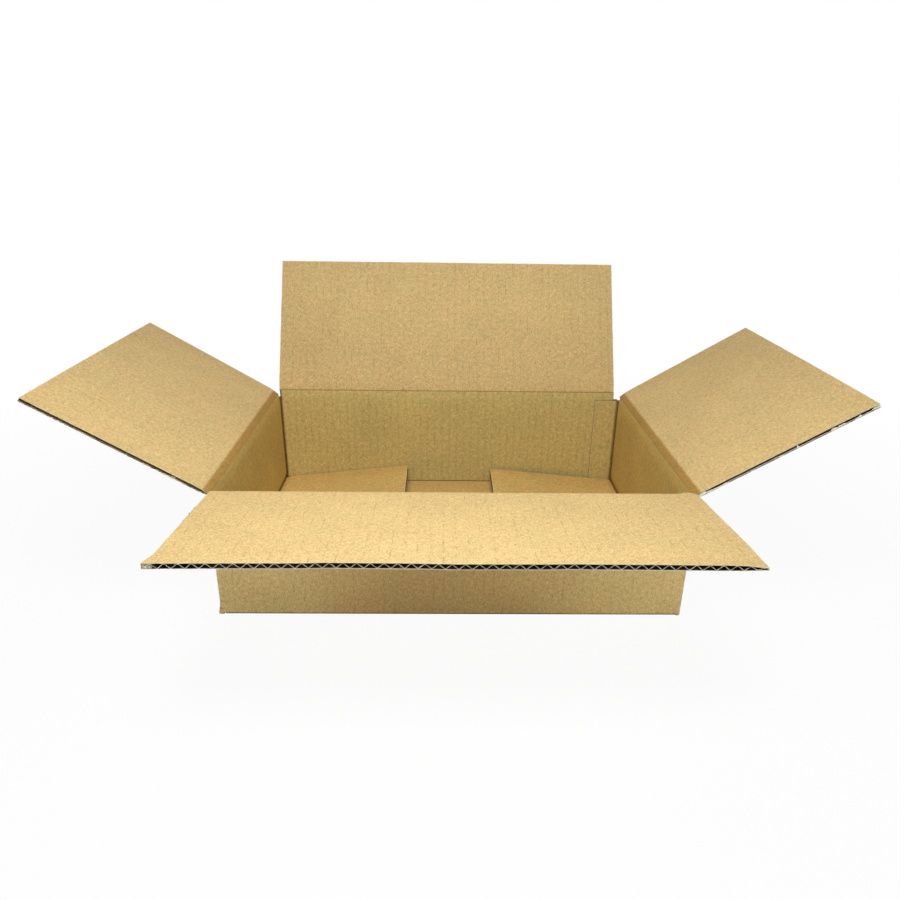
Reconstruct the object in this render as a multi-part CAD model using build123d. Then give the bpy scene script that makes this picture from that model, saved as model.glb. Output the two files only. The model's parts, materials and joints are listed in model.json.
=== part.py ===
from build123d import *
from math import atan2, cos, radians, sin, tan
import os

# Outside of the closed box
outer_length = 352.0
outer_width = 280.0
outer_height = 102.0

# Corrugated board: two liners with a fluted sheet between them
board_thickness = 3.6
liner_thickness = 0.3
medium_thickness = 0.25
flute_pitch = 7.5

# Flaps
seam_gap = 2.6  # between the free edges of the two long flaps when shut
low_end_flap_depth = 132.0  # crease to free edge, of the inner bottom flaps
ply_gap = 0.3  # between flaps that lie on one another

# Creases
seat_clearance = 0.2  # round a flap's rolled root, in its wall
crushed_land = 2.0  # pressed strip past the crease's bevels, where the flutes are shut
crease_relief = 0.5  # degrees left between bevels at the end of the travel

# Slots between the flaps, and the glued joint at the right rear corner
long_flap_setback = 3.0
slot_clearance = 0.8
joint_trim = 4.4
slot_overcut_top = 3.5
slot_overcut_low = 0.5
corner_radius = 3.6
tab_width = 30.0
raw_slit_depth = 3.0

# Degrees that each crease folds from straight: shut inwards and thrown open outwards
shut_fold = 90.0
lid_open_fold = 130.0
base_open_fold = 90.0
low_end_raised_fold = 150.0

# Degrees outwards from straight at rest, negative for folded in
front_top_rest = 85.5
rear_top_rest = 33.5
left_top_rest = 60.0
right_top_rest = 59.5
long_base_rest = -90.0
left_base_rest = -96.0
right_base_rest = -95.0

# Places that follow from the sizes above
half_length = outer_length / 2
half_width = outer_width / 2
crease_radius = board_thickness / 2
ply_step = board_thickness + ply_gap
long_crease_top = outer_height - crease_radius
end_crease_top = long_crease_top - ply_step
long_crease_low = crease_radius
end_crease_low = long_crease_low + ply_step
slot_floor_top = end_crease_top - slot_overcut_top
slot_floor_low = end_crease_low + slot_overcut_low
flap_depth = half_width - crease_radius - seam_gap / 2
end_flap_setback = board_thickness + slot_clearance
joint_setback = corner_radius + joint_trim
tab_flap_setback = 2 * board_thickness + slot_clearance

long_span = (long_flap_setback - half_length, half_length - long_flap_setback)
rear_span = (long_flap_setback - half_length, half_length - joint_setback)
end_span = (end_flap_setback - half_width, half_width - end_flap_setback)
tab_span = (end_flap_setback - half_width, half_width - tab_flap_setback)

# Unit directions of the four walls, facing outwards
front = Vector(0, -1, 0)
rear = Vector(0, 1, 0)
left = Vector(-1, 0, 0)
right = Vector(1, 0, 0)
up = Vector(0, 0, 1)


def bevel_angle(fold):
    return radians((180 - fold) / 2 - crease_relief)


def bevel_length(fold):
    return crease_radius / tan(bevel_angle(fold))


# A crease has its own frame: X along it, Y from the wall to the upright flap, Z into the box
class Crease:
    def __init__(self, wall, side, height, span, inward_fold, outward_fold):
        self.width = span[1] - span[0]
        self.inward_fold = inward_fold
        self.outward_fold = outward_fold
        middle = (span[0] + span[1]) / 2
        wall_offset = half_width if wall.X == 0 else half_length
        along = Vector(abs(wall.Y), abs(wall.X), 0)
        origin = wall * (wall_offset - crease_radius) + along * middle + up * height
        self.plane = Plane(origin, x_dir=side.cross(-wall), z_dir=-wall)

    def across(self, outline):
        # a solid of the crease's width, from an outline in Y and Z
        points = [Vector(-self.width / 2, y, z) for y, z in outline]
        face = Face(Wire.make_polygon(points, close=True))
        return extrude(face, amount=self.width, dir=(1, 0, 0))

    def roller(self, radius):
        return Rot(0, 90, 0) * Cylinder(radius, self.width)


def wall_end(crease, reach):
    # the wall's edge between two slots, bevelled on both faces, with a round seat
    tip = [(0, -crease_radius), (0, crease_radius), (-reach, crease_radius), (-reach, -crease_radius)]
    return Location(crease.plane) * crease.across(tip)


def wall_end_cuts(crease):
    proud = 2 * crease_radius
    cuts = crease.roller(crease_radius + seat_clearance)
    for fold, face in ((crease.inward_fold, 1), (crease.outward_fold, -1)):
        back = -proud / tan(bevel_angle(fold))
        cuts += crease.across([(0, 0), (back, face * proud), (proud, face * proud), (proud, 0)])
    return Location(crease.plane) * cuts


def fluted_board(width, start, end):
    # flutes run from start to end, and each side edge is cut along the middle of a flute
    count = round(width / flute_pitch)
    pitch = width / count
    core = crease_radius - liner_thickness
    slope = atan2(2 * core, pitch / 2)
    half_mouth = pitch / 2 - medium_thickness / (2 * sin(slope))
    depth = 2 * core - medium_thickness / (2 * cos(slope))
    edge = width / 2
    upper = [
        (edge, core - depth),
        (edge - half_mouth, core),
        (edge, core),
        (edge, crease_radius),
    ]
    lower = [(edge, -crease_radius)]
    ring = lower + upper + [(-x, z) for x, z in reversed(lower + upper)]

    def wire(points):
        return Wire.make_polygon([Vector(x, start, z) for x, z in points], close=True)

    channels = []
    for step in range(1, 2 * count):
        x = step * pitch / 2 - edge
        face = -1 if step % 2 else 1
        mouth = face * core
        channels.append([(x - half_mouth, mouth), (x + half_mouth, mouth), (x, mouth - face * depth)])
    section = Face(wire(ring), [wire(channel) for channel in channels])
    return extrude(section, amount=end - start, dir=(0, 1, 0))


def flap(crease, depth, rest):
    inner = bevel_length(crease.inward_fold)
    outer = bevel_length(crease.outward_fold)
    band = max(inner, outer) + crushed_land
    root = crease.across(
        [
            (0, 0),
            (inner, crease_radius),
            (band, crease_radius),
            (band, -crease_radius),
            (outer, -crease_radius),
        ]
    )
    body = root + crease.roller(crease_radius) + fluted_board(crease.width, band, depth)
    return Location(crease.plane) * Rot(-rest, 0, 0) * body


def sleeve_section():
    # four walls in one strip that ends in a tab, glued inside the rear wall
    board = board_thickness
    strip = Rectangle(outer_length, outer_width)
    joint = Pos(half_length, half_width) * Rectangle(2 * corner_radius, 2 * board)
    folds = [corner for corner in strip.vertices() if corner.X < 0 or corner.Y < 0]
    strip = fillet(folds, corner_radius) - joint
    tab_fold = strip.vertices().sort_by_distance((half_length, half_width - board))[0]
    strip = fillet(tab_fold, corner_radius)
    strip -= Rectangle(outer_length - 2 * board, outer_width - 2 * board)
    tab_length = tab_width - board
    tab_middle = half_length - board - tab_length / 2
    strip += Pos(tab_middle, half_width - 3 * board / 2) * Rectangle(tab_length, board)
    slit = Rectangle(2 * raw_slit_depth, board - 2 * liner_thickness)
    strip -= Pos(half_length - corner_radius, half_width - board / 2) * slit
    strip -= Pos(half_length - tab_width, half_width - 3 * board / 2) * slit
    return strip


lid = {
    "front_top_flap": Crease(front, up, long_crease_top, long_span, shut_fold, lid_open_fold),
    "rear_top_flap": Crease(rear, up, long_crease_top, rear_span, shut_fold, lid_open_fold),
    "left_top_flap": Crease(left, up, end_crease_top, end_span, shut_fold, lid_open_fold),
    "right_top_flap": Crease(right, up, end_crease_top, end_span, shut_fold, lid_open_fold),
}
base = {
    "front_bottom_flap": Crease(front, -up, long_crease_low, long_span, shut_fold, base_open_fold),
    "rear_bottom_flap": Crease(rear, -up, long_crease_low, rear_span, shut_fold, base_open_fold),
    "left_bottom_flap": Crease(left, -up, end_crease_low, end_span, low_end_raised_fold, base_open_fold),
    "right_bottom_flap": Crease(right, -up, end_crease_low, tab_span, low_end_raised_fold, base_open_fold),
}
creases = {**lid, **base}
rests = {
    "front_top_flap": front_top_rest,
    "rear_top_flap": rear_top_rest,
    "left_top_flap": left_top_rest,
    "right_top_flap": right_top_rest,
    "front_bottom_flap": long_base_rest,
    "rear_bottom_flap": long_base_rest,
    "left_bottom_flap": left_base_rest,
    "right_bottom_flap": right_base_rest,
}
depths = {"left_bottom_flap": low_end_flap_depth, "right_bottom_flap": low_end_flap_depth}

sleeve = Pos(0, 0, slot_floor_low) * extrude(sleeve_section(), amount=slot_floor_top - slot_floor_low)
for crease in lid.values():
    sleeve += wall_end(crease, crease.plane.origin.Z - slot_floor_top)
for crease in base.values():
    sleeve += wall_end(crease, slot_floor_low - crease.plane.origin.Z)
for crease in creases.values():
    sleeve -= wall_end_cuts(crease)

parts = {"wall_sleeve": sleeve}
for name, crease in creases.items():
    parts[name] = flap(crease, depths.get(name, flap_depth), rests[name])

os.makedirs("parts", exist_ok=True)
for name, solid in parts.items():
    export_step(solid, f"parts/{name}.step")
    print(name, round(solid.volume), len(solid.solids()), solid.bounding_box())
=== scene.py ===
import json
import math
import bpy
from mathutils import Matrix, Vector, noise


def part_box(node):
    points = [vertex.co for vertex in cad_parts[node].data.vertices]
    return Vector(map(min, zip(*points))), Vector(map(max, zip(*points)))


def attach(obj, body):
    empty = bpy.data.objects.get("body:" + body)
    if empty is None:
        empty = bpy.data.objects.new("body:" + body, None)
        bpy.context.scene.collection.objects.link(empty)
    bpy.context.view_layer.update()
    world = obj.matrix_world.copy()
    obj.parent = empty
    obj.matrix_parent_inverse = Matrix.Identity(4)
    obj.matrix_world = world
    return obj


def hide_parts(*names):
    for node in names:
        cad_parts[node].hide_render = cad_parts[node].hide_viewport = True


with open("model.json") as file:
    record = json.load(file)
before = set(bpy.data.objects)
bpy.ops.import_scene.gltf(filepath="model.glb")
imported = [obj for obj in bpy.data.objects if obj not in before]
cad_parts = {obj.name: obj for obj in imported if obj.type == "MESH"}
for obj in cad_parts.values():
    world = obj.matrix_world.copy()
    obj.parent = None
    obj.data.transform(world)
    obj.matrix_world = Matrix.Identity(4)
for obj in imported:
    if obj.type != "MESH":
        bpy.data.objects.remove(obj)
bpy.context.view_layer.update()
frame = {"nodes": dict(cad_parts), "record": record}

scene = bpy.context.scene
creases = {joint["child"]: joint for joint in frame["record"]["behaviour"]["joints"]}
print("frame loaded:", len(frame["nodes"]), "nodes")

# The board, in metres like everything here
board = dict(
    thick=0.0036,      # over both liners
    liner=0.0003,
    medium=0.00024,    # the fluted sheet
    pitch=0.0075,      # flute to flute
    sharp=0.985,       # turns of the flutes, where 1 is a plain zigzag
    leastWave=0.0001,  # height that the flutes keep where the board is pressed
    crushed=0.00024,   # half the thickness that is left in a fold
    waveSteps=16,      # mesh steps in one flute of a flap
    wallSteps=10,      # and of a wall, near its cut edges
    column=0.00375,    # mesh columns in a liner
)

# Lines pressed into the board where it folds: (depth, reach) of a wide dip and of a narrow groove in it;
# room: slope of a bevel that lets the board fold right over
lidScore = dict(inner=((0.0010, 0.0055), (0.0004, 0.0008)), outer=((0.00035, 0.004), (0.00105, 0.0010)),
                room=dict(outer=0.44))
baseScore = dict(inner=((0.00035, 0.004), (0.0003, 0.0008)), outer=((0.00035, 0.004), (0.0003, 0.0008)),
                 room={})
endScore = dict(baseScore, room=dict(inner=0.25))
scoreRows = (0, 0.0004, 0.0009, 0.0016, 0.0026, 0.004, 0.006, 0.009)     # mesh rows beside a crease
onCrease = 0.0001       # a face this near to a crease's line is on it


def halfThick(distance, score, side):   # from the middle of the board to a face, so far from a crease
    dips = sum(depth * math.exp(-(distance / reach) ** 2) for depth, reach in score[side])
    face = board["thick"] / 2 - dips
    if side in score["room"]:
        face = min(face, max(board["crushed"], score["room"][side] * distance))
    return face


def spread(start, end, step):
    count = max(1, round((end - start) / step))
    return [start + (end - start) * i / count for i in range(count + 1)]


def wobble(x, y, seed):     # smooth noise from -1 to 1
    return noise.noise(Vector((x, y, seed)))


def between(marks, at):     # along a line through (place, value) marks
    for (low, first), (high, last) in zip(marks, marks[1:]):
        if at <= high:
            return first + (last - first) * max(0, at - low) / (high - low)
    return marks[-1][1]


def zigzag(turn):           # a sine with straight legs
    return math.asin(board["sharp"] * math.sin(turn)) / math.asin(board["sharp"])


# Node groups that the materials share
def newGroup(name, inputs, outputs):
    group = bpy.data.node_groups.new(name, "ShaderNodeTree")
    for label, kind, value in inputs:
        socket = group.interface.new_socket(label, in_out="INPUT", socket_type=kind)
        if value is not None:
            socket.default_value = value
    for label, kind in outputs:
        group.interface.new_socket(label, in_out="OUTPUT", socket_type=kind)
    return group, group.nodes.new("NodeGroupInput"), group.nodes.new("NodeGroupOutput")


def feed(tree, node, links):    # each link: input, then a socket or a plain value
    for place, source in links:
        if hasattr(source, "is_output"):
            tree.links.new(source, node.inputs[place])
        else:
            node.inputs[place].default_value = source
    return node


def addNode(tree, kind, links=(), **values):
    node = tree.nodes.new(kind)
    for label, value in values.items():
        setattr(node, label, value)
    return feed(tree, node, links)


def mathNode(tree, operation, a, b=0.0, c=0.0):
    return addNode(tree, "ShaderNodeMath", [(0, a), (1, b), (2, c)], operation=operation).outputs[0]


def noiseNode(tree, vector, scale, detail, rough=0.5):
    links = [("Vector", vector), ("Scale", scale), ("Detail", detail), ("Roughness", rough)]
    return addNode(tree, "ShaderNodeTexNoise", links).outputs["Fac"]


def rangeNode(tree, value, low, high, outLow=0.0, outHigh=1.0, kind="SMOOTHSTEP"):
    links = [(0, value), (1, low), (2, high), (3, outLow), (4, outHigh)]
    return addNode(tree, "ShaderNodeMapRange", links, interpolation_type=kind).outputs[0]


def mixColor(tree, factor, a, b, blend="MIX"):
    node = addNode(tree, "ShaderNodeMix", data_type="RGBA", blend_type=blend)
    return feed(tree, node, [(0, factor), (6, a), (7, b)]).outputs[2]


def stretched(tree, vector, scale):
    return addNode(tree, "ShaderNodeVectorMath", [(0, vector), (1, scale)], operation="MULTIPLY").outputs[0]


pulpLook = dict(
    cloud=dict(scale=26, detail=3, rough=0.55), cloudShare=0.18,        # broad drifts of tone
    patch=dict(scale=300, detail=3, rough=0.6), patchShare=0.46,
    grain=dict(scale=900, detail=2, rough=0.6), grainShare=0.62, grainHeight=0.6,
    fibre=dict(scale=1, detail=2, rough=0.6), fibreShare=0.82, fibreHeight=0.5, fibreStretch=(1000, 460, 1),
    drift=48, pinker=(1.012, 0.994, 0.98, 1), greener=(0.99, 1.005, 0.99, 1),
    cells=430, shive=(0.20, 0.11, 0.035, 1), shiveShare=0.40, fleck=(0.88, 0.72, 0.42, 1), fleckShare=0.45,
)


def makePaperGroup():       # pulp: cloudy tone, grain, fibres and specks
    group, start, end = newGroup(
        "paperPulp",
        [("Place", "NodeSocketVector", None), ("Flat", "NodeSocketVector", None),
         ("Tone", "NodeSocketColor", (0.7, 0.5, 0.2, 1)), ("Contrast", "NodeSocketFloat", 1.0),
         ("Cloudy", "NodeSocketFloat", 1.0)],
        [("Color", "NodeSocketColor"), ("Height", "NodeSocketFloat"), ("Roughness", "NodeSocketFloat")],
    )
    place, flat = start.outputs["Place"], start.outputs["Flat"]
    cloud = noiseNode(group, place, **pulpLook["cloud"])
    patch = noiseNode(group, place, **pulpLook["patch"])
    grain = noiseNode(group, place, **pulpLook["grain"])
    fibre = noiseNode(group, stretched(group, flat, pulpLook["fibreStretch"]), **pulpLook["fibre"])
    cloudy = mathNode(group, "MULTIPLY", mathNode(group, "SUBTRACT", cloud, 0.5), pulpLook["cloudShare"])
    patchy = mathNode(group, "SUBTRACT", patch, 0.5)
    cloudy = mathNode(group, "MULTIPLY_ADD", patchy, pulpLook["patchShare"], cloudy)
    tone = mathNode(group, "MULTIPLY", cloudy, start.outputs["Cloudy"])
    for layer, share in ((grain, pulpLook["grainShare"]), (fibre, pulpLook["fibreShare"])):
        tone = mathNode(group, "MULTIPLY_ADD", mathNode(group, "SUBTRACT", layer, 0.5), share, tone)
    bright = mathNode(group, "MULTIPLY_ADD", tone, start.outputs["Contrast"], 1.0)
    gray = addNode(group, "ShaderNodeCombineColor", [(0, bright), (1, bright), (2, bright)]).outputs[0]
    color = mixColor(group, 1.0, start.outputs["Tone"], gray, "MULTIPLY")
    # drift between a pinker and a greener brown
    drift = rangeNode(group, noiseNode(group, place, pulpLook["drift"], 2), 0.35, 0.65)
    tint = mixColor(group, drift, pulpLook["pinker"], pulpLook["greener"])
    color = mixColor(group, 1.0, color, tint, "MULTIPLY")
    # dark shives and a few pale flecks
    cells = addNode(group, "ShaderNodeTexVoronoi", [("Vector", place), ("Scale", pulpLook["cells"])])
    near = rangeNode(group, cells.outputs["Distance"], 0.12, 0.30, 1.0, 0.0)
    pick = addNode(group, "ShaderNodeSeparateColor", [(0, cells.outputs["Color"])])
    dark = mathNode(group, "MULTIPLY", near, rangeNode(group, pick.outputs[0], 0.80, 0.92))
    pale = mathNode(group, "MULTIPLY", near, rangeNode(group, pick.outputs[1], 0.78, 0.92))
    dark = mathNode(group, "MULTIPLY", dark, pulpLook["shiveShare"])
    pale = mathNode(group, "MULTIPLY", pale, pulpLook["fleckShare"])
    color = mixColor(group, dark, color, pulpLook["shive"])
    color = mixColor(group, pale, color, pulpLook["fleck"])
    fibreHeight = mathNode(group, "MULTIPLY", fibre, pulpLook["fibreHeight"])
    height = mathNode(group, "MULTIPLY_ADD", grain, pulpLook["grainHeight"], fibreHeight)
    group.links.new(color, end.inputs["Color"])
    group.links.new(height, end.inputs["Height"])
    group.links.new(rangeNode(group, patch, 0.3, 0.7, 0.80, 0.94), end.inputs["Roughness"])
    return group


# Ranges of the wave and of the noise that breaks it into dashes; valley: the washboard's dips, which get
# painted shade
washboardLook = dict(stretch=(300, 110, 1), crest=(0.95, 1.0), dashes=(0.50, 0.62), valley=(0.1, 1.0),
                     valleyDashes=(0.25, 0.65))


def makeFluteGroup():       # washboard: the liner dips between the flutes that carry it, and the dips get painted shade
    group, start, end = newGroup(
        "fluteWashboard",
        [("Flat", "NodeSocketVector", None), ("Pitch", "NodeSocketFloat", board["pitch"])],
        [("Line", "NodeSocketFloat"), ("Valley", "NodeSocketFloat"), ("Height", "NodeSocketFloat")],
    )
    flat = start.outputs["Flat"]
    along = addNode(group, "ShaderNodeSeparateXYZ", [(0, flat)]).outputs[0]
    turns = mathNode(group, "DIVIDE", along, start.outputs["Pitch"])
    wave = mathNode(group, "COSINE", mathNode(group, "MULTIPLY", turns, 2 * math.pi))
    dashes = noiseNode(group, stretched(group, flat, washboardLook["stretch"]), 1, 2, 0.6)
    crest = rangeNode(group, wave, *washboardLook["crest"])
    line = mathNode(group, "MULTIPLY", crest, rangeNode(group, dashes, *washboardLook["dashes"]))
    valley = rangeNode(group, wave, *washboardLook["valley"])
    valley = mathNode(group, "MULTIPLY", valley, rangeNode(group, dashes, *washboardLook["valleyDashes"]))
    group.links.new(line, end.inputs["Line"])
    group.links.new(valley, end.inputs["Valley"])
    group.links.new(wave, end.inputs["Height"])
    return group


# wear: how far the pale bruising reaches; fold: where the painted shade of a crease fades out
marksLook = dict(ragged=520, wear=(0.35, 1.0), foldRagged=0.0008, fold=(0.0006, 0.0018))


def makeMarksGroup():       # bruised paper along the cut edges, and painted shade along a fold
    group, start, end = newGroup(
        "boardMarks",
        [("Edges", "NodeSocketVector", None), ("Flat", "NodeSocketVector", None),
         ("Reach", "NodeSocketFloat", 0.0006)],
        [("Wear", "NodeSocketFloat"), ("Fold", "NodeSocketFloat")],
    )
    edges = addNode(group, "ShaderNodeSeparateXYZ", [(0, start.outputs["Edges"])])
    ragged = noiseNode(group, start.outputs["Flat"], marksLook["ragged"], 3, 0.7)
    reach = mathNode(group, "MULTIPLY", start.outputs["Reach"], mathNode(group, "MULTIPLY", ragged, 2.0))
    share = mathNode(group, "DIVIDE", edges.outputs[0], reach)
    group.links.new(rangeNode(group, share, *marksLook["wear"], 1.0, 0.0), end.inputs["Wear"])
    depth = mathNode(group, "MULTIPLY_ADD", ragged, marksLook["foldRagged"], edges.outputs[1])
    group.links.new(rangeNode(group, depth, *marksLook["fold"], 1.0, 0.0), end.inputs["Fold"])
    return group


paperPulp = makePaperGroup()
fluteWashboard = makeFluteGroup()
boardMarks = makeMarksGroup()


# Materials
def newMaterial(name):
    material = bpy.data.materials.new(name)
    material.use_nodes = True
    shader = material.node_tree.nodes["Principled BSDF"]
    shader.inputs["Specular IOR Level"].default_value = 0.2
    return material, material.node_tree, shader


def groupNode(tree, group, links):
    node = tree.nodes.new("ShaderNodeGroup")
    node.node_tree = group
    return feed(tree, node, links)


def paperCoords(tree):
    place = tree.nodes.new("ShaderNodeTexCoord").outputs["Object"]
    flat = addNode(tree, "ShaderNodeUVMap", uv_map="flat").outputs[0]
    edges = addNode(tree, "ShaderNodeUVMap", uv_map="edges").outputs[0]
    return place, flat, edges


def setBump(tree, shader, height, strength, distance):
    bump = addNode(tree, "ShaderNodeBump", [("Height", height)])
    bump.inputs["Strength"].default_value = strength
    bump.inputs["Distance"].default_value = distance
    tree.links.new(bump.outputs[0], shader.inputs["Normal"])


# Liner papers. contrast and cloudy: of the pulp; lines: share of painted shade in the washboard's dips;
# dashes: how far the flutes' crests show through;
# fold: what the paper is multiplied by along a crease, as painted shade
outsideLook = dict(tone=(0.70, 0.505, 0.225, 1), contrast=1.15, cloudy=1.0, lines=0.04, dashes=0.45,
                   fold=(0.23, 0.14, 0.03, 1))
# painted shade: a paler multiply, spread over a broad band past the side flaps' creases
creaseShadedLook = dict(outsideLook, fold=(0.50, 0.36, 0.12, 1))
longLook = dict(outsideLook, tone=(0.66, 0.525, 0.208, 1), contrast=1.1, cloudy=1.4, lines=0.17, dashes=0.3)
# painted shade: darker, deeper copies of the liner for the end walls' inside and the bottom, where less
# light falls
endShadedLook = dict(outsideLook, tone=(0.605, 0.443, 0.148, 1), contrast=1.0, cloudy=1.6, lines=0.10, dashes=0.2)
lowShadedLook = dict(outsideLook, tone=(0.655, 0.435, 0.142, 1), cloudy=1.5, lines=0.12, dashes=0.3)
linerMarks = dict(
    # valley: painted shade in the washboard's dips
    valley=(0.45, 0.29, 0.10, 1), dash=(0.28, 0.16, 0.05, 1), worn=(0.88, 0.76, 0.50, 1),
    # foldShare: how much of the crease's painted shade is laid on
    foldShare=0.8, wornShare=0.55, washboard=0.45, bump=(0.5, 0.00012),
)


def makeLiner(name, look):
    material, tree, shader = newMaterial(name)
    place, flat, edges = paperCoords(tree)
    links = [("Place", place), ("Flat", flat), ("Tone", look["tone"])]
    links += [("Contrast", look["contrast"]), ("Cloudy", look["cloudy"])]
    pulp = groupNode(tree, paperPulp, links)
    flutes = groupNode(tree, fluteWashboard, [("Flat", flat)])
    marks = groupNode(tree, boardMarks, [("Edges", edges), ("Flat", flat)])
    color = pulp.outputs["Color"]
    layers = (
        # painted shade in the washboard's dips
        (flutes.outputs["Valley"], look["lines"], linerMarks["valley"], "MIX"),
        (flutes.outputs["Line"], look["dashes"], linerMarks["dash"], "MIX"),
        # painted shade along creases and corners
        (marks.outputs["Fold"], linerMarks["foldShare"], look["fold"], "MULTIPLY"),
        (marks.outputs["Wear"], linerMarks["wornShare"], linerMarks["worn"], "MIX"),
    )
    for mask, share, tint, blend in layers:
        color = mixColor(tree, mathNode(tree, "MULTIPLY", mask, share), color, tint, blend)
    tree.links.new(color, shader.inputs["Base Color"])
    tree.links.new(pulp.outputs["Roughness"], shader.inputs["Roughness"])
    height = pulp.outputs["Height"]
    relief = mathNode(tree, "MULTIPLY_ADD", flutes.outputs["Height"], linerMarks["washboard"], height)
    setBump(tree, shader, relief, *linerMarks["bump"])
    return material


cutBump = (0.6, 0.00015)        # strength and height on cut and torn paper


def makePaper(name, tone, contrast):
    material, tree, shader = newMaterial(name)
    place, flat, edges = paperCoords(tree)
    links = [("Place", place), ("Flat", flat), ("Tone", tone), ("Contrast", contrast)]
    pulp = groupNode(tree, paperPulp, links)
    tree.links.new(pulp.outputs["Color"], shader.inputs["Base Color"])
    tree.links.new(pulp.outputs["Roughness"], shader.inputs["Roughness"])
    setBump(tree, shader, pulp.outputs["Height"], *cutBump)
    return material


kraftLiner = makeLiner("kraftLiner", outsideLook)
kraftScored = makeLiner("kraftScored", creaseShadedLook)                      # with a broad band of painted shade past the crease
kraftInside = makeLiner("kraftInside", longLook)                        # of the long walls
kraftEnds = makeLiner("kraftEnds", endShadedLook)                             # of the end walls: a darker copy, painted shade
kraftLow = makeLiner("kraftLow", lowShadedLook)                               # of the bottom: a darker copy, painted shade
cutPaper = makePaper("cutPaper", (0.98, 0.94, 0.83, 1), 1.0)            # raw, where the knife went
softEdge = makePaper("softEdge", (0.78, 0.65, 0.43, 1), 1.0)            # an upper liner's edge, rubbed
tornPaper = makePaper("tornPaper", (0.62, 0.52, 0.35, 1), 1.6)          # fluff in the open edges
slotEdge = makePaper("slotEdge", (0.26, 0.165, 0.065, 1), 1.2)          # painted shade: cut edges coloured dark where they lie in shade, down in the slots, at the tab and at the bottom flaps' tips
flutedMedium = makePaper("flutedMedium", (0.10, 0.06, 0.025, 1), 1.2)   # painted shade: the fluted sheet coloured near black, for the dark inside the flutes
print("materials made")


# Sheets of paper, laid flat: X across the flutes, Y along them, Z through the board
def setMaps(sheet, edgesAt):
    mesh = sheet.data
    while len(mesh.uv_layers) < 2:
        mesh.uv_layers.new()
    mesh.uv_layers[0].name = "flat"
    mesh.uv_layers[1].name = "edges"
    for loop in mesh.loops:
        x, y, z = mesh.vertices[loop.vertex_index].co
        mesh.uv_layers[0].data[loop.index].uv = (x, y)
        mesh.uv_layers[1].data[loop.index].uv = edgesAt(x, y)


def makeSheet(name, xs, ys, pointAt, edgesAt, materials, thick, faceUp=True, offset=-1, keep=None):
    bpy.ops.object.select_all(action="DESELECT")
    bpy.ops.mesh.primitive_grid_add(x_subdivisions=len(xs) - 1, y_subdivisions=len(ys) - 1, size=1)
    sheet = bpy.context.object
    sheet.name = name
    for i, vertex in enumerate(sheet.data.vertices):
        row, column = divmod(i, len(xs))
        vertex.co = (xs[column], ys[row], 0)
    setMaps(sheet, edgesAt)
    for material in materials:
        sheet.data.materials.append(material)
    bpy.ops.object.mode_set(mode="EDIT")
    if keep:
        bpy.ops.mesh.select_mode(type="FACE")
        bpy.ops.mesh.select_all(action="DESELECT")
        bpy.ops.object.mode_set(mode="OBJECT")
        for face in sheet.data.polygons:
            face.select = not keep(face.center.x, face.center.y)
        bpy.ops.object.mode_set(mode="EDIT")
        bpy.ops.mesh.delete(type="FACE")
    if not faceUp:
        bpy.ops.mesh.select_all(action="SELECT")
        bpy.ops.mesh.flip_normals()
    bpy.ops.object.mode_set(mode="OBJECT")
    for vertex in sheet.data.vertices:
        vertex.co = pointAt(vertex.co.x, vertex.co.y)
    solid = sheet.modifiers.new("thickness", "SOLIDIFY")
    solid.thickness = thick
    solid.offset = offset
    solid.material_offset = 1 if len(materials) > 2 else 0      # the hidden side: with three papers, the near-black painted shade of the flutes
    solid.material_offset_rim = len(materials) - 1              # the cut edge
    bpy.ops.object.modifier_apply(modifier=solid.name)
    return sheet


def joinSheets(name, sheets):
    bpy.ops.object.select_all(action="DESELECT")
    for sheet in sheets:
        sheet.select_set(True)
    bpy.context.view_layer.objects.active = sheets[0]
    bpy.ops.object.join()
    piece = bpy.context.object
    piece.name = piece.data.name = name
    return piece


def finishPiece(piece, node):
    bpy.ops.object.select_all(action="DESELECT")
    piece.select_set(True)
    bpy.context.view_layer.objects.active = piece
    bpy.ops.object.transform_apply(location=True, rotation=True, scale=True)
    bpy.ops.object.shade_smooth_by_angle(angle=math.radians(40))
    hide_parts(node)
    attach(piece, node)
    print(piece.name, len(piece.data.polygons), "faces")


fluff = dict(
    step=0.0009, thick=0.00016,
    inset=0.0004, waver=0.0003, lean=0.0002,                # how far it stands behind the edge
    waves=((60, 1.0, 0), (260, 0.55, 3), (900, 0.3, 6)),    # rate, share and row of each noise in its height
    rough=0.75, least=0.04, most=0.94,                      # shares of the opening
)


def makeFray(start, stop, inward, middle, half, edgesAt, covers, seed, paper):     # crushed in an open edge
    start, stop, inward = Vector(start), Vector(stop), Vector(inward)
    marks = [(0, covers), (1, covers)] if isinstance(covers, float) else covers
    length = (stop - start).length
    steps = spread(0, length, fluff["step"])

    def flatPoint(share, t):
        return share, t, 0

    def height(t):
        rough = sum(share * wobble(t * rate, row, seed) for rate, share, row in fluff["waves"])
        cover = between(marks, t / length)      # how far the fluff closes the edge
        return min(fluff["most"], max(fluff["least"], cover + fluff["rough"] * rough))

    strip = makeSheet("fray", [0, 1], steps, flatPoint, edgesAt, [paper, paper], fluff["thick"], offset=0)
    for vertex in strip.data.vertices:
        share, t, depth = vertex.co
        share = min(1, max(0, share))
        t = min(length, max(0, t))
        waver = fluff["waver"] * abs(wobble(t * 120, share * 2, seed + 5))
        inset = fluff["inset"] + waver + fluff["lean"] * share - depth
        spot = start + (stop - start) * (t / length) + inward * inset
        low = middle(spot.x, spot.y) - half(spot.x, spot.y, "outer") + board["liner"] / 2
        high = middle(spot.x, spot.y) + half(spot.x, spot.y, "inner") - board["liner"] / 2
        vertex.co = (spot.x, spot.y, low + share * (high - low) * height(t))
    return strip
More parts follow.
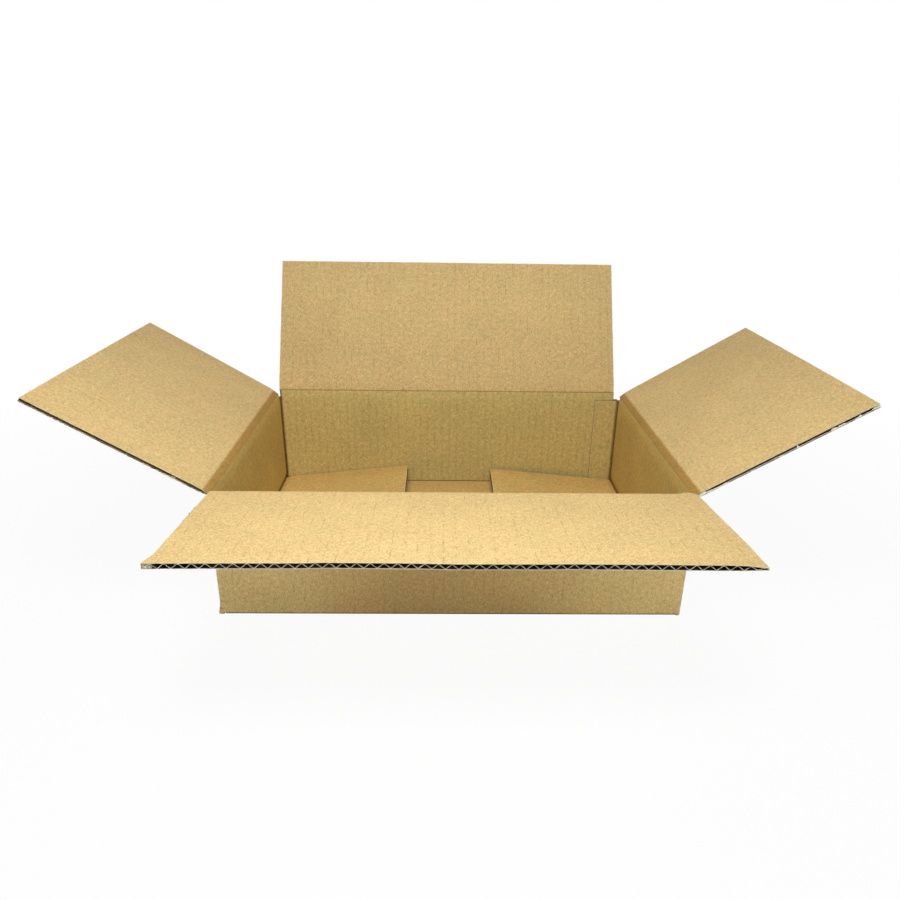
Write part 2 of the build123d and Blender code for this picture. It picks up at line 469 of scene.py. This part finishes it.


# Flaps. out: away from the box; side: up or down from the wall; fold: degrees outwards from straight;
# score: of the crease; narrow: off the half width; thin: how far the side edges are pressed;
# droop and flare: how far the free corners at the low and high end of the crease hang and spread;
# nip: how far the high end is drawn in below its tip; crush: end and share of a tip that is pinched flat;
# kink: place and height of a bump at the crease; bow: rise of the free edge along it;
# stain: width, slope and start of the crease's band of painted shade; fray: how far fluff closes the two
# side edges;
# patches: start, end and share of fluff in the free edge; tufts: side, start and end of pale fluff;
# face: the inner face's paper; torn and rim: papers of the open edges
flaps = {
    "front_top_flap": dict(
        out=(0, -1, 0), side=1, fold=85.5, score=lidScore, flare=(0.0016, 0.0008),
        crush=(-1, 0.5), fray=(0.35, 0.35), patches=((0.1676, 0.1736, 0.95),), stain=(0, 1, 0.002),
        nip=0.0019, kink=(-0.167, 0.0011),
        bow=((-0.168, 0.00017), (-0.154, 0.00023), (-0.129, 0.00033), (-0.105, 0.00045), (-0.080, 0.00045),
             (-0.064, 0.00058), (-0.047, 0.0003), (-0.025, 0.0003), (0.003, 0.0002), (0.020, 0.0006),
             (0.052, 0.00073), (0.073, 0.00085), (0.085, 0.00046), (0.126, 0.00022), (0.168, -0.0002)),
    ),
    "rear_top_flap": dict(
        out=(0, 1, 0), side=1, fold=33.5, score=lidScore, droop=(0.0002, 0.0002), fray=(0.3, 0.3), thin=0.3,
        stain=(0, 1, 0.0006),
    ),
    "left_top_flap": dict(
        out=(-1, 0, 0), side=1, fold=60.0, score=lidScore, droop=(0.0005, 0.0004), fray=(0.2, 0.3),
        stain=(0.0038, 0.52, 0), face=kraftScored, thin=0.3, tufts=((1, 0.001, 0.008),),
    ),
    "right_top_flap": dict(
        out=(1, 0, 0), side=1, fold=59.5, score=lidScore, droop=(0.0004, 0.0006),
        stain=(0.0038, 0.52, 0), face=kraftScored, thin=0.3, patches=((0.129, 0.1356, 0.9),), torn=cutPaper,
        rim=tornPaper, fray=(0.3, (
            (0, 0.7), (0.14, 0.4), (0.2, -0.1), (0.48, -0.2), (0.5, -0.9), (0.555, -0.9), (0.565, 0.9),
            (0.575, -0.9), (0.72, -0.9), (0.75, 0.5), (0.85, 0.1), (1, 0.9))),
    ),
    "front_bottom_flap": dict(
        out=(0, -1, 0), side=-1, fold=-90.0, score=baseScore, fray=(0.35, 0.35), narrow=0.0007,
    ),
    "rear_bottom_flap": dict(
        out=(0, 1, 0), side=-1, fold=-90.0, score=baseScore, fray=(0.35, 0.35), narrow=0.0007,
    ),
    "left_bottom_flap": dict(out=(-1, 0, 0), side=-1, fold=-96.0, score=endScore, fray=(0.4, 0.4)),
    "right_bottom_flap": dict(out=(1, 0, 0), side=-1, fold=-95.0, score=endScore, fray=(0.4, 0.4)),
}
flapForm = dict(
    trim=0.0004,                                        # the free edge stays this much inside the solid's
    ripple=0.00012,                                     # slow waves of the whole flap
    pinchSize=(0.010, 0.022), pinchDrop=0.0009,         # a crushed tip
    kinkSize=(0.0045, 0.006),
    pressReach=0.003,                                   # of pressed side edges
    lipReach=0.008,                                     # of the tip past a nip
    ragged=((110, 0.00016), (420, 0.00012)),            # rate and depth of the side edges' noises
    raggedEnd=0.00008, raggedReach=0.0006,
    fluteStart=5.6, fluteWaver=0.25,                    # in radians
    fluteInset=0.0001,
    beadInset=0.0004, beadSides=20,
    fluffInset=(0.0015, 0.0006),                        # from the crease and from the free edge
    # where the crease's painted shade starts and how fast it fades, for lids and for bottom flaps
    lidStain=(0, 1, 0), baseStain=(0.0014, 1, 0),
    rim=(0, 0.0004, 0.0012),                            # mesh lines beside a cut edge
    sideMesh=0.003, creaseMesh=0.013, endMesh=0.004,    # where the even mesh starts
    row=0.005,
    waveRows=(0.0012, 0.004, 0.009), waveMesh=0.025, waveRow=0.018,
)


def flapPlace(node, spec):  # the crease's frame: X along it, Y to the free edge, Z out of the inner face
    out = Vector(spec["out"])
    side = Vector((0, 0, spec["side"]))
    fold = math.radians(spec["fold"])
    toEdge = side * math.cos(fold) + out * math.sin(fold)
    inner = side * math.sin(fold) - out * math.cos(fold)
    along = toEdge.cross(inner)
    place = Matrix((along, toEdge, inner)).transposed().to_4x4()
    place.translation = Vector(creases[node]["pos_m"])
    return place


def makeBead(halfWidth, radius, edgesAt, paper):      # the rolled liner in the bend
    bpy.ops.object.select_all(action="DESELECT")
    bpy.ops.mesh.primitive_cylinder_add(vertices=flapForm["beadSides"], radius=radius,
                                        depth=2 * halfWidth - flapForm["beadInset"],
                                        rotation=(0, math.pi / 2, 0))
    bead = bpy.context.object
    bpy.ops.object.transform_apply(location=True, rotation=True, scale=True)
    bead.data.materials.append(paper)

    def farFromEdges(x, y):
        return 1.0, edgesAt(x, y)[1]

    setMaps(bead, farFromEdges)
    return bead


def makeFlap(node, spec):
    place = flapPlace(node, spec)
    corners = [place.inverted() @ v.co for v in frame["nodes"][node].data.vertices]
    halfWidth = max(c.x for c in corners) - spec.get("narrow", 0)
    depth = max(c.y for c in corners) - flapForm["trim"]
    count = round(2 * halfWidth / board["pitch"])
    pitch = 2 * halfWidth / count
    droopLow, droopHigh = spec.get("droop", (0, 0))
    flareLow, flareHigh = spec.get("flare", (0, 0))
    crushSide, crushShare = spec.get("crush", (0, 0))
    plainShade = flapForm["lidStain"] if spec["side"] > 0 else flapForm["baseStain"]
    shadeFlat, shadeSlope, shadeStart = spec.get("stain", plainShade)
    kinkAt, kinkHeight = spec.get("kink", (0, 0))
    score = spec["score"]
    seed = 7.3 * len(node) + 3.1 * spec["fold"]

    def edgesAt(x, y):
        # the second map is the distance that the crease's painted shade is drawn by
        stain = max(0, y - shadeFlat) * shadeSlope + shadeStart
        return min(x + halfWidth, halfWidth - x, depth - y), stain

    def pinch(x, y):
        across = (x - crushSide * halfWidth) / flapForm["pinchSize"][0]
        down = (y - depth) / flapForm["pinchSize"][1]
        return math.exp(-across ** 2 - down ** 2)

    def middle(x, y):
        share = x / halfWidth
        droop = (droopLow if share < 0 else droopHigh) * share ** 2
        wave = flapForm["ripple"] * (1 + wobble(x * 9, y * 12, seed))
        kinkX, kinkY = (x - kinkAt) / flapForm["kinkSize"][0], y / flapForm["kinkSize"][1]
        kink = kinkHeight * math.exp(-kinkX ** 2 - kinkY ** 2)
        bow = between(spec["bow"], x) * (y / depth) ** 1.5 if "bow" in spec else 0
        crush = flapForm["pinchDrop"] * crushShare * pinch(x, y)
        return (wave - droop * (y / depth)) * (y / depth) - crush + kink + bow

    def half(x, y, side):
        away = max(0, halfWidth - abs(x))
        near = math.exp(-(away / flapForm["pressReach"]) ** 2)
        press = spec.get("thin", 0) * near if side == "outer" else 0
        return halfThick(y, score, side) * (1 - crushShare * pinch(x, y)) * (1 - press)

    def edged(x, y, seed):      # x and y of a paper's point, with the cut edges a little ragged
        away = halfWidth - abs(x)
        ragged = sum(size * (1 + wobble(y * rate, x, seed)) for rate, size in flapForm["ragged"])
        spare = flapForm["raggedEnd"] * (1 + wobble(x * 160, y, seed))
        reach = flapForm["raggedReach"]
        wider = flareLow * (y / depth) ** 2 * (x / halfWidth) ** 4
        if x > 0:
            lip = math.exp(-((depth - y) / flapForm["lipReach"]) ** 2)
            wider = (flareHigh * lip - spec.get("nip", 0) * (1 - lip)) * (x / halfWidth) ** 8
        wider -= ragged * math.exp(-away / reach)
        return x + (wider if x > 0 else -wider), y - spare * math.exp(-(depth - y) / reach)

    def innerFace(x, y):
        return (*edged(x, y, seed), middle(x, y) + half(x, y, "inner"))

    def outerFace(x, y):
        return (*edged(x, y, seed + 9), middle(x, y) - half(x, y, "outer"))

    def flute(x, y):
        spare = board["liner"] + board["medium"] / 2
        low, high = spare - half(x, y, "outer"), half(x, y, "inner") - spare
        waver = flapForm["fluteWaver"] * wobble(x * 40, y * 15, seed)
        turn = 2 * math.pi * (x + halfWidth) / pitch + flapForm["fluteStart"] + waver
        level = (low + high) / 2 + max(board["leastWave"], (high - low) / 2) * zigzag(turn)
        return (*edged(x, y, seed + 4), middle(x, y) + level)

    rim = flapForm["rim"]
    even = halfWidth - flapForm["sideMesh"]
    columns = [-halfWidth + r for r in rim] + spread(-even, even, board["column"])
    columns += [halfWidth - r for r in reversed(rim)]
    rows = list(scoreRows) + spread(flapForm["creaseMesh"], depth - flapForm["endMesh"], flapForm["row"])
    rows += [depth - r for r in reversed(rim)]
    waveColumns = spread(-halfWidth, halfWidth, pitch / board["waveSteps"])
    waveRows = list(flapForm["waveRows"])
    waveRows += spread(flapForm["waveMesh"], depth - flapForm["fluteInset"], flapForm["waveRow"])
    torn = spec.get("torn", tornPaper)
    if spec["side"] > 0:
        face = spec.get("face", kraftLiner)
        liner, lining = [kraftLiner, flutedMedium, spec.get("rim", cutPaper)], [face, flutedMedium, softEdge]
        core = [flutedMedium, cutPaper]
    else:
        # the bottom flaps' inside gets the darker copy, painted shade
        face = kraftLow
        # their cut edges get the dark paper, painted shade
        liner, lining = [kraftLiner, flutedMedium, slotEdge], [face, flutedMedium, slotEdge]
        core = [flutedMedium, slotEdge]
    sheets = [
        makeSheet("inner", columns, rows, innerFace, edgesAt, lining, board["liner"]),
        makeSheet("outer", columns, rows, outerFace, edgesAt, liner, board["liner"], faceUp=False),
        makeSheet("flutes", waveColumns, waveRows, flute, edgesAt, core, board["medium"], offset=0),
        makeBead(halfWidth, halfThick(0, score, "inner" if spec["side"] > 0 else "outer"), edgesAt, face),
    ]
    for sheet in sheets[:2]:        # the paper runs on over the crease, with no cut edge there
        for polygon in sheet.data.polygons:
            if polygon.center.y < onCrease:
                polygon.material_index = 0
    fluffLow, fluffHigh = flapForm["fluffInset"]
    for end, cover in zip((-1, 1), spec["fray"]):
        start, stop = (end * halfWidth, fluffLow), (end * halfWidth, depth - fluffHigh)
        sheets.append(makeFray(start, stop, (-end, 0), middle, half, edgesAt, cover, seed + end, torn))
    for low, high, cover in spec.get("patches", ()):
        start, stop = (low, depth), (high, depth)
        sheets.append(makeFray(start, stop, (0, -1), middle, half, edgesAt, cover, seed + low, torn))
    for end, low, high in spec.get("tufts", ()):
        start, stop = (end * halfWidth, low), (end * halfWidth, high)
        sheets.append(makeFray(start, stop, (-end, 0), middle, half, edgesAt, 0.9, seed + low, cutPaper))
    flap = joinSheets(node.replace("_flap", "_flap_board"), sheets)
    flap.matrix_world = place
    finishPiece(flap, node)


for node, spec in flaps.items():
    makeFlap(node, spec)
print("flaps made")


# The four walls and the glue tab, one strip folded at its corners
sleeve = dict(
    node="wall_sleeve",
    corner=0.0036,          # outside radius of a folded corner
    tabWidth=0.0267,
    tabThick=0.0018,        # the tab is pressed flat
    rearTrim=0.0044,        # cut off the rear wall's top and bottom at the glued joint
    endTrim=0.0008,         # the end walls' creases stop short of the corners
    slotTop=0.0928, slotLow=0.0062,
    cornerFoot=0.0007,      # the folded corners reach down to here
    groove=0.0020, grooveReach=0.0011,      # pressed into the inside of a corner
    lump=-0.0022, lumpHigh=0.0065, lumpWide=0.005,      # the front left corner's foot is bumped out
    fluteStart=0.9,                                     # in radians
    cornerMesh=(0, 0.0006, 0.0014, 0.0026, 0.0044),     # mesh columns beside a corner
    wallMesh=0.008, arcSteps=6,                         # where the even columns start, and steps of a bend
    fineFlutes=0.012,                                   # from a corner or cut end, where the flutes show
    evenRows=(0.017, 0.084), row=0.0075, rowGap=0.00015,
    waveLow=0.012, waveHigh=0.088, waveMiddle=0.05, waveReach=0.004,    # where the fluted sheet keeps rows
)
# Offsets and slopes of the distances from a crease or edge that the walls' lines of painted shade are drawn
# by
wallShade = dict(outside=0.0006, top=0.0006, endTop=0.0005, endSlope=0.5, foot=0.0014, cornerSlope=0.45,
                 tab=0.0002, tabShift=0.0004)
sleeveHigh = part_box(sleeve["node"])[1]
longHeights = (creases["front_bottom_flap"]["pos_m"][2], creases["front_top_flap"]["pos_m"][2])
endHeights = (creases["left_bottom_flap"]["pos_m"][2], creases["left_top_flap"]["pos_m"][2])
arcLength = sleeve["corner"] * math.pi / 2


def makePath():             # wall by wall along the inside face, anticlockwise from the joint
    thick = board["thick"]
    x, y = sleeveHigh[0] - thick, sleeveHigh[1] - thick
    tabY = y - thick
    bends = [(x, y), (-x, y), (-x, -y), (x, -y), (x, tabY), (sleeveHigh[0] - sleeve["tabWidth"], tabY)]
    path, at = [], 0.0
    for i in range(5):
        start, stop = Vector(bends[i]), Vector(bends[i + 1])
        length = (stop - start).length
        heading = (stop - start) / length
        out = Vector((heading.y, -heading.x))
        heights = endHeights if i in (1, 3) else longHeights
        path.append(dict(at=at, length=length, start=start, heading=heading, out=out, heights=heights))
        at += length + arcLength
    return path


wallPath = makePath()
rearWall, leftWall, frontWall, rightWall, tab = wallPath
stripEnd = tab["at"] + tab["length"]


def wallAt(s):              # the wall that s lies on and the way along it, which runs on into the bend
    for wall in reversed(wallPath):
        if s >= wall["at"] - 1e-9:
            return wall, s - wall["at"]
    return rearWall, 0.0


def foldPoint(s, z, n):
    wall, along = wallAt(s)
    past = along - wall["length"]
    out = wall["out"]
    if past <= 0 or (wall is rightWall and z > sleeve["slotTop"] + 1e-6):
        spot = wall["start"] + wall["heading"] * along      # over the tab's fold the tongue stays straight
    else:
        spot = wall["start"] + wall["heading"] * wall["length"]
        turn = min(1, past / arcLength) * math.pi / 2
        across = Vector((-out.y, out.x))
        out = out * math.cos(turn) + across * math.sin(turn)
    spot = spot + out * n
    return Vector((spot.x, spot.y, z))


def cornerGap(s):           # distance along the strip to the nearest folded corner
    wall, along = wallAt(s)
    if along > wall["length"] and wall is not tab:
        return 0
    before = 1.0 if wall is rearWall else along
    after = 1.0 if wall is tab else wall["length"] - along
    return max(0, min(before, after))


def keepSleeve(s, z):
    wall, along = wallAt(s)
    trimmed = wall is tab or (wall is rearWall and along < sleeve["rearTrim"])
    if (sleeve["slotLow"] if trimmed else sleeve["cornerFoot"]) < z < sleeve["slotTop"]:
        if trimmed or along > wall["length"] or z > sleeve["slotLow"]:
            return True
    first, last = 0, wall["length"]
    if wall is rearWall:
        first = sleeve["rearTrim"]
    elif wall is leftWall:
        first, last = sleeve["endTrim"], wall["length"] - sleeve["endTrim"]
    elif wall is rightWall:
        first = sleeve["endTrim"]
        last = wall["length"] + (board["thick"] - sleeve["endTrim"] if z > sleeve["slotTop"] else 0)
    return wall is not tab and first < along < last and wall["heights"][0] < z < wall["heights"][1]


def sleeveColumns():
    reach = sleeve["cornerMesh"]
    columns = []
    for wall in wallPath:
        first, last = wall["at"], wall["at"] + wall["length"]
        columns += [first + r for r in reach] + [last - r for r in reach]
        columns += spread(first + sleeve["wallMesh"], last - sleeve["wallMesh"], board["column"])
        if wall is leftWall or wall is rightWall:
            columns += [first + sleeve["endTrim"], last - sleeve["endTrim"]]
        if wall is rightWall:
            columns.append(last + board["thick"] - sleeve["endTrim"])
        if wall is not tab:
            columns += spread(last, last + arcLength, arcLength / sleeve["arcSteps"])[1:-1]
    return sorted(set(round(c, 6) for c in columns))


def sleeveRows():
    rows = [sleeve["slotTop"], sleeve["slotLow"], sleeve["cornerFoot"]]
    for low, high in (longHeights, endHeights):
        rows += [low + r for r in scoreRows] + [high - r for r in scoreRows]
    rows += spread(*sleeve["evenRows"], sleeve["row"])
    rows = sorted(set(round(r, 6) for r in rows))
    return [r for i, r in enumerate(rows) if i == 0 or r - rows[i - 1] > sleeve["rowGap"]]


def flutesShow(s):
    return wallAt(s)[0] is tab or min(s, cornerGap(s)) < sleeve["fineFlutes"]


def fluteColumns():         # where the sheet is hidden, its straight legs have columns only at their turns
    fine = spread(0, stripEnd, board["pitch"] / board["wallSteps"])
    leg = board["pitch"] / 2
    firstTurn = board["pitch"] * (0.25 - sleeve["fluteStart"] / (2 * math.pi))
    turns = [firstTurn + i * leg for i in range(int((stripEnd - firstTurn) / leg))]
    return sorted([s for s in fine if flutesShow(s)] + [s for s in turns if not flutesShow(s)])


def makeSleeve():
    thick = board["thick"]
    columns, rows = sleeveColumns(), sleeveRows()

    def half(s, z, side):
        wall, along = wallAt(s)
        if wall is tab or along > wall["length"]:
            return thick / 2
        low, high = wall["heights"]
        upper = halfThick(max(0, high - z), lidScore, side)
        lower = halfThick(max(0, z - low), endScore if wall in (leftWall, rightWall) else baseScore, side)
        return upper + lower - thick / 2

    def pressed(s):         # how much thinner the tab is
        return thick - sleeve["tabThick"] if wallAt(s)[0] is tab else 0

    def edgesOut(s, z):
        low, high = wallAt(s)[0]["heights"]
        # the creases outside get lines of painted shade
        level = 1.0 if s > tab["at"] else min(abs(high - z), abs(z - low) + wallShade["outside"])
        return min(s, stripEnd - s), level

    def edgesIn(s, z):      # inside, the folded corners get lines of painted shade too
        wall, along = wallAt(s)
        top = wall["heights"][1] - z + wallShade["top"]
        beside = 1.0
        if wall is rearWall and z < sleeve["slotTop"]:      # along the tab: painted shadow beside its edge
            beside = abs(along - sleeve["tabWidth"] + thick - wallShade["tabShift"]) + wallShade["tab"]
        if wall is leftWall or wall is rightWall:
            top = wallShade["endSlope"] * top + wallShade["endTop"]
        # painted shade along the foot, and widened around the folded corners
        low = z - wall["heights"][0] - wallShade["foot"]
        corner = wallShade["cornerSlope"] * cornerGap(s)
        return min(s, stripEnd - s), max(0, min(top, low, beside, corner))

    def inside(s, z):
        groove = sleeve["groove"] * math.exp(-(cornerGap(s) / sleeve["grooveReach"]) ** 2)
        return max(thick / 2 - half(s, z, "inner"), groove, pressed(s))

    def outside(s, z):
        return thick / 2 + half(s, z, "outer")

    def innerFace(s, z):
        return s, z, inside(s, z)

    def outerFace(s, z):
        return s, z, outside(s, z)

    def flute(s, z):
        low, high = inside(s, z) + board["liner"], outside(s, z) - board["liner"]
        room = max(board["leastWave"], (high - low - board["medium"]) / 2)
        turn = 2 * math.pi * s / board["pitch"] + sleeve["fluteStart"]
        return s, z, (low + high) / 2 + room * zigzag(turn)

    # the walls' cut edges get the dark paper, painted shade in the slots and at the tab
    liner = [kraftLiner, flutedMedium, slotEdge]
    lining = [kraftInside, flutedMedium, slotEdge]
    core = [flutedMedium, slotEdge]
    paper = board["liner"]
    waveColumns = fluteColumns()
    waveRows = [r for r in rows if r < sleeve["waveLow"] or r > sleeve["waveHigh"]
                or abs(r - sleeve["waveMiddle"]) < sleeve["waveReach"]]
    sheets = [
        makeSheet("inner", columns, rows, innerFace, edgesIn, lining, paper, faceUp=False, keep=keepSleeve),
        makeSheet("outer", columns, rows, outerFace, edgesOut, liner, paper, keep=keepSleeve),
        makeSheet("flutes", waveColumns, waveRows, flute, edgesOut, core, board["medium"], offset=0,
                  keep=keepSleeve),
    ]
    # the end walls' inside gets the darker copy, painted shade
    sheets[0].data.materials.append(kraftEnds)
    endShadeSlot = len(lining)
    for sheet in sheets[:2]:        # no cut edges along the creases
        for polygon in sheet.data.polygons:
            wall = wallAt(polygon.center.x)[0]
            if min(abs(polygon.center.y - level) for level in wall["heights"]) < onCrease:
                polygon.material_index = 0
            if sheet is sheets[0] and wall in (leftWall, rightWall) and polygon.material_index == 0:
                polygon.material_index = endShadeSlot
    walls = joinSheets("wall_sleeve_board", sheets)
    for vertex in walls.data.vertices:
        vertex.co = foldPoint(*vertex.co)
        x, y, z = vertex.co
        awayX, awayY = (x + sleeveHigh[0]) / sleeve["lumpWide"], (y + sleeveHigh[1]) / sleeve["lumpWide"]
        nearCorner = math.exp(-awayX ** 2 - awayY ** 2)
        vertex.co.x += sleeve["lump"] * nearCorner * math.exp(-(z / sleeve["lumpHigh"]) ** 2)
    bpy.ops.object.mode_set(mode="EDIT")
    bpy.ops.mesh.select_all(action="SELECT")
    bpy.ops.mesh.normals_make_consistent(inside=False)
    bpy.ops.object.mode_set(mode="OBJECT")
    finishPiece(walls, sleeve["node"])


makeSleeve()
print("walls made")


# Floor, light and camera
stage = dict(
    floorSize=14, floorTone=0.86, floorRough=0.9,
    white=1.0,
    lift=0.95, near=0.36, far=0.80,     # share of white up to near, and past far the floor is all white
    world=0.02,
)


def cameraSees(tree):
    path = tree.nodes.new("ShaderNodeLightPath")
    seen = mathNode(tree, "MAXIMUM", path.outputs["Is Camera Ray"], path.outputs["Is Glossy Ray"])
    return mathNode(tree, "MAXIMUM", seen, path.outputs["Is Transmission Ray"])


def makeFloor():            # pale, lifted towards white where the camera sees it
    bpy.ops.object.select_all(action="DESELECT")
    bpy.ops.mesh.primitive_plane_add(size=stage["floorSize"])
    floor = bpy.context.object
    floor.name = "studio_floor"
    material, tree, shader = newMaterial("paleFloor")
    shader.inputs["Base Color"].default_value = (stage["floorTone"],) * 3 + (1,)
    shader.inputs["Roughness"].default_value = stage["floorRough"]
    shader.inputs["Specular IOR Level"].default_value = 0.0
    glow = tree.nodes.new("ShaderNodeEmission")
    glow.inputs["Strength"].default_value = stage["white"]
    place = tree.nodes.new("ShaderNodeTexCoord").outputs["Object"]
    reach = addNode(tree, "ShaderNodeVectorMath", [(0, place)], operation="LENGTH").outputs["Value"]
    share = rangeNode(tree, reach, stage["near"], stage["far"], stage["lift"], 1.0)
    share = mathNode(tree, "MULTIPLY", share, cameraSees(tree))
    mix = addNode(tree, "ShaderNodeMixShader", [(0, share), (1, shader.outputs[0]), (2, glow.outputs[0])])
    tree.links.new(mix.outputs[0], tree.nodes["Material Output"].inputs["Surface"])
    floor.data.materials.append(material)


def makeWorld():
    world = bpy.data.worlds.new("studio")
    scene.world = world
    world.use_nodes = True
    tree = world.node_tree
    background = tree.nodes["Background"]
    background.inputs["Color"].default_value = (1, 1, 1, 1)
    strength = rangeNode(tree, cameraSees(tree), 0.0, 1.0, stage["world"], stage["white"], "LINEAR")
    tree.links.new(strength, background.inputs["Strength"])


lamps = [
    dict(name="key", place=(-0.04, -0.35, 0.54), aim=(0, -0.16, 0.1), size=(0.30, 0.20), power=2.42),
    dict(name="back", place=(0.0, 0.35, 0.80), aim=(0, 0.0, 0.1), size=(0.5, 0.3), power=0.9),
    dict(name="behind", place=(0.0, 1.5, 0.35), aim=(0, 0.14, 0.08), size=(1.0, 0.4), power=2.5),
    dict(name="top", place=(0.0, -0.25, 2.2), aim=(0, 0, 0.1), size=(0.8, 0.8), power=6.4),
    dict(name="side", place=(1.5, -0.3, 1.1), aim=(0, 0, 0.1), size=(1.0, 1.0), power=1.55),
    dict(name="lowLeft", place=(-0.9, -1.1, 0.14), aim=(0, -0.14, 0.05), size=(0.6, 0.2), power=1.6),
    dict(name="lowRight", place=(0.9, -1.1, 0.14), aim=(0, -0.14, 0.05), size=(0.6, 0.2), power=1.6),
    dict(name="endLeft", place=(-0.35, -0.75, 0.03), aim=(-0.17, -0.14, 0.03), size=(0.15, 0.05),
         power=0.030, tint=(0.88, 1.0, 0.95), beam=26),
    dict(name="endRight", place=(0.35, -0.75, 0.03), aim=(0.17, -0.14, 0.03), size=(0.15, 0.05),
         power=0.037, tint=(0.88, 1.0, 0.95), beam=26),
]


def makeLamps():
    for spec in lamps:
        light = bpy.data.lights.new(spec["name"], "AREA")
        light.shape = "RECTANGLE"
        light.size, light.size_y = spec["size"]
        light.energy = spec["power"]
        light.color = spec.get("tint", (1, 1, 1))
        light.spread = math.radians(spec.get("beam", 180))
        lamp = bpy.data.objects.new(spec["name"], light)
        scene.collection.objects.link(lamp)
        lamp.location = spec["place"]
        aim = Vector(spec["aim"]) - Vector(spec["place"])
        lamp.rotation_euler = aim.to_track_quat("-Z", "Y").to_euler()


shot = dict(    # the photograph's camera, fitted to the box's corners; pixels in its 900 x 900 frame
    place=(-0.00983, -0.66536, 0.31308), yaw=1.330, pitch=27.127, roll=0.857,
    focalPixels=796.87, centrePixels=(455.71, 564.80), framePixels=900,
)


def makeCamera():
    yaw, pitch, roll = (math.radians(shot[k]) for k in ("yaw", "pitch", "roll"))
    ahead = Vector((math.sin(yaw) * math.cos(pitch), math.cos(yaw) * math.cos(pitch), -math.sin(pitch)))
    level = Vector((math.cos(yaw), -math.sin(yaw), 0))
    raised = level.cross(ahead)
    right = level * math.cos(roll) + raised * math.sin(roll)
    up = raised * math.cos(roll) - level * math.sin(roll)
    data = bpy.data.cameras.new("camera")
    camera = bpy.data.objects.new("camera", data)
    scene.collection.objects.link(camera)
    turn = Matrix((right, up, -ahead)).transposed().to_4x4()
    turn.translation = Vector(shot["place"])
    camera.matrix_world = turn
    size = shot["framePixels"]
    data.sensor_width = 36
    data.lens = data.sensor_width * shot["focalPixels"] / size
    data.shift_x = (size / 2 - shot["centrePixels"][0]) / size
    data.shift_y = (shot["centrePixels"][1] - size / 2) / size
    data.clip_start = 0.01
    scene.camera = camera


makeFloor()
makeWorld()
makeLamps()
makeCamera()
scene.view_settings.view_transform = "Standard"
print("stage set")
